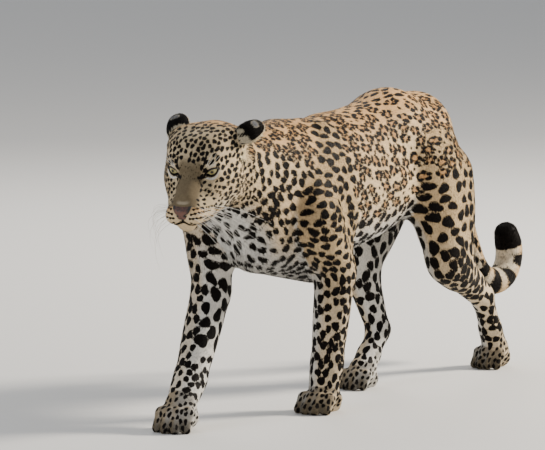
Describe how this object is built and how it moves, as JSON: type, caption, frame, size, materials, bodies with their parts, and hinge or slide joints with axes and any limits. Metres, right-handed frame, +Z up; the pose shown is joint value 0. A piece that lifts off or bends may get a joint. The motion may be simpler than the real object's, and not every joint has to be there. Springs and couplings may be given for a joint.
{
  "type": "leopard",
  "caption": "Life-size leopard in mid stride, one foreleg reaching out, head low and turned to the side, tail hanging with its end curled up.",
  "frame": {"origin": "on the ground under the middle of the outline", "axes": "+Z up, head towards -Y, the animal's left side at +X"},
  "size_m": [0.3075, 1.5319, 0.7006],
  "materials": {
    "coat": "short fur, tawny with dark rosettes",
    "paws": "short fur, paler, with small dark spots",
    "tail": "fur, banded dark towards the end",
    "ears": "short dark fur behind with a pale patch",
    "nose_leather": "bare skin, slightly moist",
    "eyes": "wet and glossy"
  },
  "bodies": {
    "root": {"torso": "coat", "neck": "coat", "foreleg_left_shoulder": "coat", "foreleg_left_forearm": "coat", "foreleg_left_paw": "paws", "foreleg_right_shoulder": "coat", "foreleg_right_forearm": "coat", "foreleg_right_paw": "paws", "hindleg_left_thigh": "coat", "hindleg_left_shank": "coat", "hindleg_left_paw": "paws", "hindleg_right_thigh": "coat", "hindleg_right_shank": "coat", "hindleg_right_paw": "paws", "tail_root": "tail", "tail_middle": "tail", "tail_bend": "tail", "tail_tip": "tail", "head": "coat", "eye_left": "eyes", "eye_right": "eyes", "nose": "nose_leather", "ear_left": "ears", "ear_right": "ears"}
  },
  "joints": []
}
